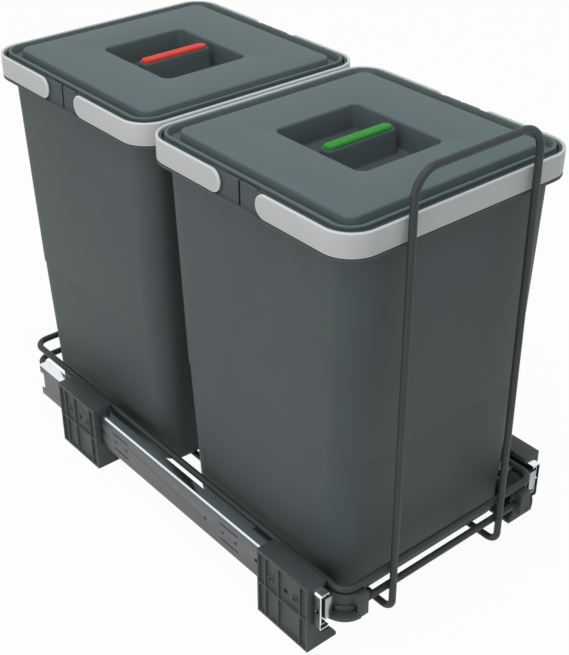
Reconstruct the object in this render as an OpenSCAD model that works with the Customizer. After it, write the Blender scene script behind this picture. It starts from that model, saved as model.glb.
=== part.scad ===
// Pull-out waste unit for a kitchen base cabinet: two lidded bins, one behind the other, in a bent
// wire frame that runs on two ball-bearing slides, each slide held by two moulded brackets.
// X is the width, -Y is the front that is pulled, Z is up, and the brackets stand on Z = 0.

/* [Fixing brackets] */
// Overall width across the brackets
unit_w = 354.4; // [330:0.2:420]
// Length of one bracket along the slide
bracket_l = 81.6; // [70:0.1:110]
// Height of a bracket
bracket_h = 88.3; // [80:0.1:110]
// Thickness of the bracket wall behind the slide
bracket_wall = 8.1; // [6:0.1:12]
// Thickness of the bracket cap over the slide
bracket_cap_t = 7.2; // [4:0.1:12]
// Reach of the bracket cap over the slide
bracket_cap_reach = 24; // [14:0.1:27]
// Reach of the bracket foot along the cabinet floor
bracket_foot_reach = 40.7; // [30:0.1:46]
// Distance from the front end of the slide to the front bracket
bracket_front_inset = 10.2; // [4:0.1:40]
// Distance from the rear bracket to the rear end of the slide
bracket_rear_inset = 60.6; // [20:0.1:90]
// Diameter of the screw holes in a bracket
screw_hole_d = 5; // [4:0.1:6]
// Spacing of the two bossed screw holes along a bracket
screw_hole_pitch = 39; // [34:0.1:42]
// Diameter of the floor screw holes in the foot of a bracket
floor_hole_d = 4.5; // [4:0.1:6]
// Spacing of the two floor screw holes along a bracket
floor_hole_pitch = 50; // [40:0.5:60]

/* [Slides] */
// Length of a closed slide
slide_len = 550; // [520:1:640]
// Height of the slide section
slide_h = 47; // [45:0.1:52]
// Thickness of the slide section
slide_t = 12.2; // [12:0.1:14]
// Sheet thickness of the slide members
sheet_t = 1.2; // [1:0.05:1.4]
// Diameter of the bearing balls
ball_d = 3.1; // [2.8:0.05:3.3]
// Balls in one row of a cage
balls_per_row = 6; // [3:1:8]

/* [Wire frame] */
// Diameter of the frame wire
wire_d = 8; // [6:0.1:9]
// Width of the two frame rings between wire centres
ring_w = 291; // [285:0.5:296]
// Length of the two frame rings between wire centres
ring_l = 610; // [605:0.5:640]
// Height of the upper ring centre
ring_z = 78.5; // [76:0.5:82]
// Height of the lower ring centre
lower_ring_z = 52.5; // [52:0.5:60]
// Bend radius of the ring corners at the wire centre
ring_r = 17; // [14:0.5:20]
// Distance of the ring fronts ahead of the slide front ends
ring_lead = 9; // [8:0.5:14]
// Width of the pull arch between wire centres
arch_w = 164; // [140:1:190]
// Height of the top of the pull arch at the wire centre
arch_top_z = 528; // [505:0.5:560]
// Bend radius of the arch top corners at the wire centre
arch_r = 26; // [16:1:40]
// Height of the arch legs that run under the bins, at the wire centre
leg_z = 22; // [18:0.5:26]
// Bend radius where the arch turns under the bins
leg_r = 14; // [10:0.5:18]

/* [Bins] */
// Width of the bin rim wall
rim_w = 297; // [284:0.5:300]
// Length of the bin rim wall
rim_l = 296; // [284:0.5:297]
// Distance between the centres of the two bins
bin_pitch = 309.5; // [308:0.5:320]
// Distance from the slide front ends to the centre of the front bin
bin_inset = 144.5; // [142:0.5:150]
// Height of a bin from its underside to the top of its rim
bin_h = 456.9; // [430:0.1:470]
// Wall thickness of a bin
bin_wall = 2.4; // [2:0.1:3.5]
// Width of the bin body just below the rim
body_top_w = 280; // [276:0.5:282]
// Width of the bin body at its underside
body_base_w = 255; // [240:0.5:262]
// Height of the crease in the bin body above its underside
crease_h = 186; // [120:1:260]
// Width of the bin body at the crease
crease_w = 268.8; // [264:0.2:273]
// Depth of the crease step
crease_step = 0.8; // [0.4:0.1:1.5]
// Corner radius of the rim wall
rim_r = 29.7; // [24:0.1:34]

/* [Lids] */
// Height of the lid panel above the rim
panel_rise = 3.2; // [1:0.1:8]
// Inset of the raised lid panel from the rim wall
panel_inset = 20.3; // [16:0.1:26]
// Sheet thickness of a lid
lid_t = 2.4; // [1.8:0.1:3]
// Width of the grip recess in a lid
recess_w = 111; // [100:1:130]
// Length of the grip recess in a lid
recess_l = 128; // [110:1:150]
// Depth of the grip recess
recess_depth = 28; // [22:1:34]
// Length of the coloured grip insert
insert_l = 87; // [70:1:95]
// Width of the coloured grip insert
insert_w = 13; // [9:0.5:16]

/* [Handles] */
// Height of the handle strip
handle_h = 25.2; // [20:0.1:28]
// Thickness of the handle strip
handle_t = 3.4; // [2.4:0.1:3.8]
// Distance of a handle pivot from the middle of its bin
pivot_offset = 39; // [34:0.5:60]
// Diameter of a handle pivot pin
pivot_d = 8; // [5:0.1:10]

/* [Hidden] */
$fn = 48;

// Clearances: between bodies that move, between a screw and its hole, and at a turning pin
gap = 0.3;
screw_play = 0.1;
pin_play = 0.08;
// Overrun of every cut, and how far a weld sinks one wire into another
cut = 1;
weld_sink = 0.4;

// Colours of the materials
dark_plastic = [0.27, 0.30, 0.30];
lid_plastic = [0.33, 0.38, 0.39];
handle_plastic = [0.74, 0.75, 0.75];
wire_paint = [0.20, 0.22, 0.22];
slide_steel = [0.62, 0.64, 0.66];
screw_steel = [0.70, 0.71, 0.72];
cage_plastic = [0.55, 0.56, 0.52];
green_plastic = [0.20, 0.58, 0.24];
red_plastic = [0.85, 0.26, 0.20];

// The origin is under the middle of the whole unit, so the slide front ends lie at slide_y
wire_r = wire_d / 2;
arch_gap = wire_d - weld_sink;
front_reach = ring_lead + arch_gap + wire_r;
rear_reach = ring_l - ring_lead + wire_r;
slide_y = -(rear_reach - front_reach) / 2;
ring_y0 = slide_y - ring_lead;
ring_y1 = ring_y0 + ring_l;
arch_y = ring_y0 - arch_gap;
leg_end_y = ring_y1 - arch_gap;

// Slide section: places are measured inwards from the outer face and up or down from its middle
slide_face = unit_w / 2 - bracket_wall;
fold_r = 2.4;
slide_z = bracket_h - bracket_cap_t - slide_h / 2;
race_play = 0.1;
lip_h = 1.5;
row_pitch = ball_d + race_play * 2;
outer_race = slide_h / 2 - sheet_t;
outer_ball_z = outer_race - row_pitch / 2;
middle_half_h = outer_race - row_pitch;
middle_race = middle_half_h - sheet_t;
inner_ball_z = middle_race - row_pitch / 2;
inner_half_h = middle_race - row_pitch;
cage_t = 0.6;
cage_air = 0.4;
outer_cage_x = sheet_t + cage_air;
middle_x = outer_cage_x + cage_t * 2;
inner_cage_x = middle_x + sheet_t + cage_t;
inner_x = inner_cage_x + cage_t * 2.3;
cage_depth_x = slide_t - sheet_t * 2;
outer_ball_x = slide_t / 2;
inner_ball_x = (inner_x + slide_t) / 2 - sheet_t;
cage_len = slide_len * 0.45;
ball_margin = 12;
middle_end_gap = 2;
inner_end_gap = 6;
middle_len = slide_len - middle_end_gap * 2;
inner_len = slide_len - inner_end_gap * 2;

// Rear end of the slide web: a notch leaves the two flanges standing as tongues
notch_l = 10;
notch_h = 24;
// Pressed marks on the slide web: two pairs of ribs with two dimples between them, and pilot holes
mark_l = 32;
mark_pitch_z = 21.5;
mark_t = 1.6;
mark_depth = 0.5;
dimple_d = 4;
dimple_pitch = 23;
mark_shares = [0.274, 0.661];
pilot_d = 4.6;
pilot_shares = [0.008, 0.188, 0.353, 0.738];

// Bracket details
foot_t = 4;
gusset_t = 3;
gusset_h = 16.5;
gusset_shelf = 32.2;
gusset_toe_h = 7;
gusset_toe_reach = 39.2;
slide_seat_x = bracket_wall + slide_t;
slide_seat_z = slide_z - slide_h / 2;
edge_rim = 2.6;
pocket_depth = 3;
rib_t = 1.8;
rib_shares = [0.16, 0.582, 0.842];
cross_rib_z = 42.5;
boss_d = 9;
boss_rise = 1.4;
first_hole_y = 23;
middle_hole_y = 38;
middle_hole_d = 6.4;
access_hole_d = 9;
floor_hole_in = 26;
slide_screw_shares = [0.09, 0.91];
screw_d = 4;
screw_head_d = 7.2;
screw_bite = 4;

// Frame hangers: folded channels that carry both rings on the inner slide members
hanger_t = 2;
hanger_l = 70;
hanger_shares = [0.11, 0.76];
hanger_reach = 12.5;
hanger_screw_pitch = 44;
hanger_head_d = 7.6;
hanger_head_t = 2;
hanger_tail = 2.6;

// Front corner guides round the lower ring
guide_drop = 11;
guide_z0 = lower_ring_z - guide_drop;
guide_h = 29.5;
guide_flange_t = 4.2;
guide_flange_reach = 10;
guide_wall_in = 7;
guide_wall_out = 1.5;
guide_block_w = 14.6;
guide_block_front = 9;
guide_block_back = 7;
guide_block_set = 4;
guide_arm_out = 4.9;
guide_side_w = 6.5;
guide_arm_l = 14;
guide_groove = 1;
guide_arm_drop = guide_flange_t + gap;
tab_t = 1.5;
tab_w = 9.2;
tab_h = 27.4;

// Bin and lid details
bin_z = leg_z + wire_r + gap;
rim_z = bin_z + bin_h;
ledge_t = 4.5;
ledge_lip = 1.2;
rim_wall_h = 25.1;
side_rise = 1.4;
side_part_l = 50;
ledge_z = rim_z - rim_wall_h;
body_long = 2;
body_base_r = 26;
body_top_r = 28;
base_round = 10;
slit_w = 1.6;
slit_depth = 1.4;
front_bin_y = slide_y + bin_inset;
rear_bin_y = front_bin_y + bin_pitch;
end_gap = 0.8;
handle_out = gap + handle_t;
handle_out_y = end_gap + handle_t;
handle_z = ledge_z + gap;
pivot_z = handle_z + handle_h / 2;
handle_r = rim_r + handle_out;
lid_in = 4.2;
bead_w = 4.6;
bead_rise = 2.2;
bead_z = rim_z + bead_rise;
skirt_z = ledge_z + gap;
channel_drop = 7.1;
channel_z = rim_z - channel_drop;
panel_z = rim_z + panel_rise;
panel_r = 12;
recess_r = 10;
recess_draft = 7;
bar_w = 17;
bar_l = insert_l + 5;
bar_draft = 3;
insert_t = 3.4;
insert_rise = 1.2;
facet_fn = 32;

// Flat outline with round corners
module round_rect(w, l, r) {
    square([w - r * 2, l], center = true);
    square([w, l - r * 2], center = true);
    for (x = [-1, 1], y = [-1, 1])
        translate([x * (w / 2 - r), y * (l / 2 - r)]) circle(r = r);
}

// Flat outline with fully round ends
module capsule(len, w) {
    square([len - w, w], center = true);
    for (x = [-1, 1]) translate([x * (len - w) / 2, 0]) circle(d = w);
}

// Thin slab with round corners, used as one level of a tapered shell
module level(w, l, r, z) {
    translate([0, 0, z]) linear_extrude(slice_h) round_rect(w, l, r, $fn = facet_fn);
}
slice_h = 0.02;

// Copies a left-hand piece to the chosen side
module on_side(side) {
    mirror([side > 0 ? 1 : 0, 0, 0]) children();
}

// Straight length of wire from a point, along X, Y or Z
module wire_x(p, len, d = wire_d) { translate(p) rotate([0, 90, 0]) cylinder(d = d, h = len); }
module wire_y(p, len, d = wire_d) { translate(p) rotate([-90, 0, 0]) cylinder(d = d, h = len); }
module wire_z(p, len, d = wire_d) { translate(p) cylinder(d = d, h = len); }

// Quarter bend of wire in its local XY plane, round the given centre
module wire_bend(p, turn, r, d = wire_d) {
    translate(p) rotate(turn) rotate_extrude(angle = 90) translate([r, 0]) circle(d = d);
}

// Closed rectangular ring of wire with bent corners
module wire_ring(z, d) {
    x = ring_w / 2;
    inner_y0 = ring_y0 + ring_r;
    inner_y1 = ring_y1 - ring_r;
    for (y = [ring_y0, ring_y1]) wire_x([-x + ring_r, y, z], ring_w - ring_r * 2, d);
    for (side = [-1, 1]) wire_y([side * x, inner_y0, z], inner_y1 - inner_y0, d);
    wire_bend([x - ring_r, inner_y1, z], [0, 0, 0], ring_r, d);
    wire_bend([-x + ring_r, inner_y1, z], [0, 0, 90], ring_r, d);
    wire_bend([-x + ring_r, inner_y0, z], [0, 0, 180], ring_r, d);
    wire_bend([x - ring_r, inner_y0, z], [0, 0, 270], ring_r, d);
}

module upper_ring() color(wire_paint) wire_ring(ring_z, wire_d);
module lower_ring() color(wire_paint) wire_ring(lower_ring_z, wire_d);

// Pull arch: one wire that stands in front, turns under the bins and rises again behind the rings
module pull_arch() {
    x = arch_w / 2;
    leg_y0 = arch_y + leg_r;
    leg_y1 = leg_end_y - leg_r;
    post_z = leg_z + leg_r;
    color(wire_paint) {
        wire_x([-x + arch_r, arch_y, arch_top_z], arch_w - arch_r * 2);
        wire_bend([x - arch_r, arch_y, arch_top_z - arch_r], [90, 0, 0], arch_r);
        wire_bend([-x + arch_r, arch_y, arch_top_z - arch_r], [90, -90, 0], arch_r);
        for (side = [-1, 1]) {
            wire_z([side * x, arch_y, post_z], arch_top_z - arch_r - post_z);
            wire_bend([side * x, leg_y0, post_z], [180, 90, 0], leg_r);
            wire_y([side * x, leg_y0, leg_z], leg_y1 - leg_y0);
            wire_bend([side * x, leg_y1, post_z], [0, 90, 0], leg_r);
            wire_z([side * x, leg_end_y, post_z], ring_z + wire_r - post_z);
        }
    }
}

// Moulded bracket that clasps the slide, seen from the cabinet side as a ribbed panel
module bracket(y0) {
    face_x = -unit_w / 2;
    rib_z0 = edge_rim;
    rib_z1 = bracket_h - edge_rim * 1.7;
    color(dark_plastic) translate([face_x, y0, 0]) difference() {
        union() {
            cube([bracket_wall, bracket_l, bracket_h]);
            translate([0, 0, bracket_h - bracket_cap_t]) cube([bracket_cap_reach, bracket_l, bracket_cap_t]);
            cube([bracket_foot_reach, bracket_l, foot_t]);
            for (y = [0, bracket_l - gusset_t])
                translate([0, y + gusset_t, 0]) rotate([90, 0, 0]) linear_extrude(gusset_t)
                    polygon([[0, 0], [bracket_foot_reach, 0], [gusset_toe_reach, gusset_toe_h],
                             [gusset_shelf, gusset_h], [slide_seat_x, gusset_h],
                             [slide_seat_x, slide_seat_z], [0, slide_seat_z]]);
        }
        difference() {
            translate([-cut, edge_rim, rib_z0])
                cube([pocket_depth + cut, bracket_l - edge_rim * 2, rib_z1 - rib_z0]);
            for (share = rib_shares)
                translate([-cut, share * bracket_l - rib_t / 2, 0]) cube([bracket_wall, rib_t, bracket_h]);
            translate([-cut, 0, cross_rib_z - rib_t / 2]) cube([bracket_wall, bracket_l, rib_t]);
            for (y = side_hole_ys) translate([pocket_depth - boss_rise, y, slide_z]) rotate([0, 90, 0])
                    cylinder(d = boss_d, h = bracket_wall);
        }
        for (y = side_hole_ys) translate([-cut, y, slide_z]) rotate([0, 90, 0])
            cylinder(d = screw_hole_d, h = bracket_wall + cut * 2);
        translate([-cut, middle_hole_y, slide_z]) rotate([0, 90, 0])
            cylinder(d = middle_hole_d, h = bracket_wall + cut * 2);
        for (end = [-1, 1])
            translate([floor_hole_in, bracket_l / 2 + end * floor_hole_pitch / 2, -cut])
                cylinder(d = floor_hole_d, h = foot_t + cut * 2);
        for (share = slide_screw_shares)
            translate([bracket_wall - screw_bite - screw_play, share * bracket_l, slide_z]) rotate([0, 90, 0])
                cylinder(d = screw_d + screw_play * 2, h = bracket_wall);
    }
}

side_hole_ys = [first_hole_y, first_hole_y + screw_hole_pitch];
bracket_front_y = slide_y + bracket_front_inset;
bracket_rear_y = slide_y + slide_len - bracket_rear_inset - bracket_l;

module bracket_front_left() on_side(-1) bracket(bracket_front_y);
module bracket_front_right() on_side(1) bracket(bracket_front_y);
module bracket_rear_left() on_side(-1) bracket(bracket_rear_y);
module bracket_rear_right() on_side(1) bracket(bracket_rear_y);

// Places children in the slide section: X inwards from the outer face, Z from its middle
module in_slide() {
    translate([-slide_face, slide_y, slide_z]) children();
}

// Channel section of sheet steel, web at x0, with flanges that reach to x1
module channel(x0, x1, half_h, y0, len, web_at) {
    translate([0, y0, 0]) {
        translate([web_at, 0, -half_h]) cube([sheet_t, len, half_h * 2]);
        for (z = [-half_h, half_h - sheet_t]) translate([x0, 0, z]) cube([x1 - x0, len, sheet_t]);
    }
}

// Positions of the countersunk screws that hold one slide in its brackets, along the slide
slide_screw_ys = [for (y0 = [bracket_front_y, bracket_rear_y], share = slide_screw_shares)
                  y0 + share * bracket_l - slide_y];
// Positions of the access holes behind the bracket screws, along the slide
access_hole_ys = [for (y0 = [bracket_front_y, bracket_rear_y], y = side_hole_ys) y0 + y - slide_y];

// Section of the outer member or of its inside, with a round fold at the top and at the bottom
module folded_section(depth, half_h, r) {
    translate([0, r - half_h]) square([depth, (half_h - r) * 2]);
    translate([r, -half_h]) square([depth - r, half_h * 2]);
    for (z = [r - half_h, half_h - r]) translate([r, z]) circle(r = r);
}

module slide_outer() {
    lip_z = slide_h / 2 - sheet_t - lip_h;
    color(slide_steel) in_slide() difference() {
        union() {
            translate([0, slide_len, 0]) rotate([90, 0, 0]) linear_extrude(slide_len) difference() {
                folded_section(slide_t, slide_h / 2, fold_r);
                translate([sheet_t, 0]) folded_section(slide_t, outer_race, fold_r - sheet_t);
            }
            for (z = [-lip_z - lip_h, lip_z])
                translate([slide_t - sheet_t, 0, z]) cube([sheet_t, slide_len, lip_h]);
        }
        translate([-cut, slide_len - notch_l, -notch_h / 2]) cube([sheet_t + cut * 2, notch_l + cut, notch_h]);
        for (share = pilot_shares)
            translate([-cut, share * slide_len, 0]) rotate([0, 90, 0])
                cylinder(d = pilot_d, h = sheet_t + cut * 2);
        for (y = access_hole_ys)
            translate([-cut, y, 0]) rotate([0, 90, 0]) cylinder(d = access_hole_d, h = sheet_t + cut * 2);
        for (y = slide_screw_ys)
            translate([0, y, 0]) rotate([0, 90, 0])
                cylinder(d1 = screw_d + screw_play * 2, d2 = screw_head_d + screw_play * 2, h = sheet_t);
        for (share = mark_shares) translate([-cut, share * slide_len, 0]) {
            for (z = [-mark_pitch_z / 2, mark_pitch_z / 2])
                translate([0, -mark_l / 2, z - mark_t / 2]) cube([mark_depth + cut, mark_l, mark_t]);
            for (y = [-dimple_pitch / 2, dimple_pitch / 2])
                translate([0, y, 0]) rotate([0, 90, 0]) cylinder(d = dimple_d, h = mark_depth + cut);
        }
    }
}

module slide_outer_left() on_side(-1) slide_outer();
module slide_outer_right() on_side(1) slide_outer();

// Countersunk screws, heads flush inside the slide web and threads in the bracket wall
module slide_screws() {
    color(screw_steel) for (side = [-1, 1]) on_side(side) in_slide()
        for (y = slide_screw_ys) translate([0, y, 0]) rotate([0, 90, 0]) {
            cylinder(d1 = screw_d, d2 = screw_head_d, h = sheet_t);
            translate([0, 0, -screw_bite]) cylinder(d = screw_d, h = screw_bite);
        }
}

module slide_middle() {
    color(slide_steel) in_slide()
        channel(middle_x, slide_t - sheet_t - gap * 2, middle_half_h, middle_end_gap, middle_len, middle_x);
}

module slide_middle_left() on_side(-1) slide_middle();
module slide_middle_right() on_side(1) slide_middle();

module slide_inner() {
    color(slide_steel) in_slide() difference() {
        channel(inner_x, slide_t, inner_half_h, inner_end_gap, inner_len, slide_t - sheet_t);
        for (y = hanger_screw_ys)
            translate([slide_t - sheet_t - cut, y, 0]) rotate([0, 90, 0])
                cylinder(d = screw_d + screw_play * 2, h = sheet_t + cut * 2);
    }
}

module slide_inner_left() on_side(-1) slide_inner();
module slide_inner_right() on_side(1) slide_inner();

// Place of every ball of a cage along the slide
cage_y = (slide_len - cage_len) / 2;
ball_step = (cage_len - ball_margin * 2) / (balls_per_row - 1);
ball_ys = [for (i = [0 : balls_per_row - 1]) cage_y + ball_margin + i * ball_step];

// Ball cage: a folded strip whose two flanges carry a row of balls each
module ball_cage(web_x, flange_end, row_x, row_z) {
    color(cage_plastic) in_slide() difference() {
        translate([0, cage_y, 0]) {
            translate([web_x, 0, -row_z - cage_t / 2]) cube([cage_t, cage_len, row_z * 2 + cage_t]);
            for (z = [-row_z, row_z]) translate([web_x, 0, z - cage_t / 2])
                cube([flange_end - web_x, cage_len, cage_t]);
        }
        for (y = ball_ys, z = [-row_z, row_z])
            translate([row_x, y, z - cage_t]) cylinder(d = ball_d + screw_play * 4, h = cage_t * 2);
    }
}

module ball_rows(row_x, row_z) {
    color(screw_steel) in_slide()
        for (y = ball_ys, z = [-row_z, row_z]) translate([row_x, y, z]) sphere(d = ball_d);
}

outer_cage_end = slide_t - sheet_t - gap * 2;
inner_cage_end = inner_ball_x + ball_d;
module outer_cage() ball_cage(outer_cage_x, outer_cage_end, outer_ball_x, outer_ball_z);
module inner_cage() ball_cage(inner_cage_x, inner_cage_end, inner_ball_x, inner_ball_z);
module outer_ball_cage_left() on_side(-1) outer_cage();
module outer_ball_cage_right() on_side(1) outer_cage();
module inner_ball_cage_left() on_side(-1) inner_cage();
module inner_ball_cage_right() on_side(1) inner_cage();
module outer_balls_left() on_side(-1) ball_rows(outer_ball_x, outer_ball_z);
module outer_balls_right() on_side(1) ball_rows(outer_ball_x, outer_ball_z);
module inner_balls_left() on_side(-1) ball_rows(inner_ball_x, inner_ball_z);
module inner_balls_right() on_side(1) ball_rows(inner_ball_x, inner_ball_z);

// Frame hangers carry the rings, and are screwed to the inner slide members
hanger_ys = [for (share = hanger_shares) share * slide_len];
hanger_screw_ys = [for (y = hanger_ys, end = [-1, 1]) y + hanger_l / 2 + end * hanger_screw_pitch / 2];
hanger_z0 = lower_ring_z - wire_r + weld_sink - hanger_t;
hanger_z1 = ring_z - wire_r + weld_sink;

module frame_hanger() {
    color(wire_paint) translate([-slide_face + slide_t, slide_y, 0]) difference() {
        for (y = hanger_ys) translate([0, y, hanger_z0]) {
            cube([hanger_t, hanger_l, hanger_z1 - hanger_z0]);
            for (z = [0, hanger_z1 - hanger_z0 - hanger_t])
                translate([0, 0, z]) cube([hanger_reach, hanger_l, hanger_t]);
        }
        for (y = hanger_screw_ys)
            translate([-cut, y, slide_z]) rotate([0, 90, 0])
                cylinder(d = screw_d + screw_play * 2, h = hanger_t + cut * 2);
    }
}

module frame_hanger_left() on_side(-1) frame_hanger();
module frame_hanger_right() on_side(1) frame_hanger();

module hanger_screws() {
    tail = hanger_t + sheet_t + hanger_tail;
    color(screw_steel) for (side = [-1, 1]) on_side(side)
        translate([-slide_face + slide_t + hanger_t, slide_y, slide_z])
            for (y = hanger_screw_ys) translate([0, y, 0]) rotate([0, 90, 0]) {
                cylinder(d = hanger_head_d, h = hanger_head_t);
                translate([0, 0, -tail]) cylinder(d = screw_d, h = tail);
            }
}

// Moulded guide round a front corner of the lower ring, with an arm that meets the slide
module corner_guide() {
    corner = [-ring_w / 2 + ring_r, ring_y0 + ring_r];
    wall_r = ring_r - guide_wall_in;
    flange_r = ring_r + guide_flange_reach;
    arm_y = slide_y + tab_t;
    arm_l = inner_end_gap - tab_t - gap;
    arm_z = guide_z0 + guide_arm_drop;
    block_x = corner[0] - guide_block_set;
    color(dark_plastic) difference() {
        union() {
            translate([corner[0], corner[1], guide_z0]) rotate([0, 0, 180]) rotate_extrude(angle = 90) {
                translate([wall_r, 0]) square([guide_wall_in + guide_wall_out, guide_h]);
                translate([wall_r, 0]) square([flange_r - wall_r, guide_flange_t]);
            }
            translate([block_x, ring_y0 - guide_block_front, guide_z0])
                cube([guide_block_w, guide_block_front + guide_block_back, guide_h]);
            translate([-flange_r + corner[0], corner[1], guide_z0])
                cube([flange_r - wall_r, guide_arm_l, guide_flange_t]);
            translate([-ring_w / 2 - guide_side_w, corner[1], guide_z0])
                cube([guide_side_w * 2, guide_arm_l, guide_h]);
            translate([-slide_face + slide_t - guide_arm_out, arm_y, arm_z])
                cube([slide_face - slide_t + guide_arm_out - ring_w / 2, arm_l, tab_h]);
            translate([-ring_w / 2 - guide_side_w, arm_y, guide_z0])
                cube([guide_side_w, corner[1] - arm_y, guide_h]);
        }
        wire_ring(lower_ring_z, wire_d + screw_play * 2);
        translate([corner[0], corner[1], lower_ring_z - wire_r - guide_groove])
            rotate([0, 0, 180]) rotate_extrude(angle = 90)
                translate([ring_r, 0]) square([wire_d, wire_d + guide_groove * 2]);
    }
}

module corner_guide_left() on_side(-1) corner_guide();
module corner_guide_right() on_side(1) corner_guide();

// Bright steel tab on the front of the guide arm, in the mouth of the slide
module slide_end_tab() {
    color(slide_steel)
        translate([-slide_face + slide_t - guide_arm_out, slide_y, guide_z0 + guide_arm_drop])
            cube([tab_w, tab_t, tab_h]);
}

module slide_end_tab_left() on_side(-1) slide_end_tab();
module slide_end_tab_right() on_side(1) slide_end_tab();

// Tapered body of a bin: a lower part, a slight step and an upper part; inset makes the inside
module bin_form(inset, z0, z1) {
    crease_z = bin_z + crease_h;
    hull() {
        level(body_base_w - base_round * 2 - inset * 2, body_base_w + body_long - base_round * 2 - inset * 2,
              body_base_r - base_round / 2, z0);
        level(body_base_w - inset * 2, body_base_w + body_long - inset * 2, body_base_r, z0 + base_round);
        level(crease_w - crease_step * 2 - inset * 2, crease_w - crease_step * 2 + body_long - inset * 2,
              body_top_r, crease_z);
    }
    hull() {
        level(crease_w - inset * 2, crease_w + body_long - inset * 2, body_top_r, crease_z);
        level(body_top_w - inset * 2, body_top_w + body_long - inset * 2, body_top_r, z1);
    }
}

module bin(y) {
    pivot_hole = pivot_d + pin_play * 2;
    ledge_out = handle_out + ledge_lip;
    ledge_out_y = handle_out_y + ledge_lip;
    color(dark_plastic) translate([0, y, 0]) difference() {
        union() {
            bin_form(0, bin_z, ledge_z - ledge_t);
            translate([0, 0, ledge_z - ledge_t]) linear_extrude(ledge_t)
                round_rect(rim_w + ledge_out * 2, rim_l + ledge_out_y * 2, handle_r + ledge_lip);
            translate([0, 0, ledge_z]) linear_extrude(rim_z - side_rise - ledge_z) round_rect(rim_w, rim_l, rim_r);
            translate([-rim_w / 2, -side_part_l / 2, ledge_z]) cube([rim_w, side_part_l, rim_z - ledge_z]);
        }
        bin_form(bin_wall, bin_z + bin_wall, ledge_z + cut);
        translate([0, 0, ledge_z]) linear_extrude(rim_z - ledge_z + cut)
            round_rect(rim_w - bin_wall * 2, rim_l - bin_wall * 2, rim_r - bin_wall);
        for (end = [-1, 1])
            translate([-rim_w / 2 - cut, end * pivot_offset, pivot_z]) rotate([0, 90, 0])
                cylinder(d = pivot_hole, h = rim_w + cut * 2);
        for (side = [-1, 1])
            translate([side * rim_w / 2 - slit_depth, -slit_w / 2, ledge_z])
                cube([slit_depth * 2, slit_w, rim_z - ledge_z + cut]);
    }
}

module front_bin() bin(front_bin_y);
module rear_bin() bin(rear_bin_y);

// Lid: a raised panel inside a sunk channel and a rounded edge, with a drafted grip recess
module lid(y) {
    edge_w = rim_w - lid_in * 2;
    edge_l = rim_l - lid_in * 2;
    edge_r = rim_r - lid_in;
    panel_w = rim_w - panel_inset * 2;
    panel_l = rim_l - panel_inset * 2;
    recess_z = panel_z - recess_depth;
    bar_z = panel_z + insert_rise - insert_t;
    color(lid_plastic) translate([0, y, 0]) difference() {
        union() {
            translate([0, 0, channel_z - lid_t]) linear_extrude(bead_z - channel_z + lid_t) difference() {
                round_rect(edge_w, edge_l, edge_r);
                round_rect(edge_w - bead_w * 2, edge_l - bead_w * 2, edge_r - bead_w);
            }
            translate([0, 0, skirt_z]) linear_extrude(bead_z - skirt_z) difference() {
                round_rect(edge_w, edge_l, edge_r);
                round_rect(edge_w - lid_t * 2, edge_l - lid_t * 2, edge_r - lid_t);
            }
            translate([0, 0, channel_z - lid_t]) linear_extrude(lid_t) round_rect(edge_w, edge_l, edge_r);
            translate([0, 0, channel_z - lid_t]) linear_extrude(panel_z - channel_z + lid_t)
                round_rect(panel_w, panel_l, panel_r);
            hull() {
                level(recess_w - recess_draft * 2 + lid_t * 2, recess_l - recess_draft * 2 + lid_t * 2,
                      recess_r, recess_z - lid_t);
                level(recess_w + lid_t * 2, recess_l + lid_t * 2, recess_r + lid_t, panel_z - lid_t);
            }
        }
        difference() {
            translate([0, 0, channel_z - lid_t - cut]) linear_extrude(panel_z - channel_z + cut)
                round_rect(panel_w - lid_t * 2, panel_l - lid_t * 2, panel_r - lid_t);
            hull() {
                level(recess_w - recess_draft * 2 + lid_t * 2, recess_l - recess_draft * 2 + lid_t * 2,
                      recess_r, recess_z - lid_t);
                level(recess_w + lid_t * 2, recess_l + lid_t * 2, recess_r + lid_t, panel_z - lid_t);
            }
        }
        difference() {
            hull() {
                level(recess_w - recess_draft * 2, recess_l - recess_draft * 2, recess_r, recess_z);
                level(recess_w, recess_l, recess_r, panel_z);
                level(recess_w, recess_l, recess_r, panel_z + cut);
            }
            hull() {
                level(bar_l + bar_draft * 2, bar_w + bar_draft * 2, bar_w / 2, recess_z - lid_t);
                level(bar_l, bar_w, bar_w / 2 - bar_draft, bar_z - slice_h);
            }
        }
    }
}

module front_lid() lid(front_bin_y);
module rear_lid() lid(rear_bin_y);

// Coloured insert: a capsule on top of the grip bar that tells the bins apart
module lid_insert(y, tint) {
    color(tint) translate([0, y, panel_z + insert_rise - insert_t])
        linear_extrude(insert_t) capsule(insert_l, insert_w);
}

module front_lid_insert() lid_insert(front_bin_y, green_plastic);
module rear_lid_insert() lid_insert(rear_bin_y, red_plastic);

// Handle: a strip bent round one end of the rim, with round ends and a pivot pin at each end
module handle(bin_y, end) {
    inner_x = rim_w / 2 + gap;
    pin_l = bin_wall + gap;
    color(handle_plastic) translate([0, bin_y, 0]) mirror([0, end > 0 ? 1 : 0, 0]) {
        translate([0, 0, handle_z]) linear_extrude(handle_h) intersection() {
            difference() {
                round_rect(rim_w + handle_out * 2, rim_l + handle_out_y * 2, handle_r);
                round_rect(rim_w + gap * 2, rim_l + end_gap * 2, rim_r + gap);
            }
            translate([-rim_w, -rim_l - pivot_offset]) square([rim_w * 2, rim_l]);
        }
        for (side = [-1, 1])
            translate([side * inner_x, -pivot_offset, pivot_z]) rotate([0, side * 90, 0]) {
                cylinder(d = handle_h, h = handle_t);
                translate([0, 0, -pin_l]) cylinder(d = pivot_d, h = pin_l);
            }
    }
}

module front_bin_front_handle() handle(front_bin_y, -1);
module front_bin_rear_handle() handle(front_bin_y, 1);
module rear_bin_front_handle() handle(rear_bin_y, -1);
module rear_bin_rear_handle() handle(rear_bin_y, 1);

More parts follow.
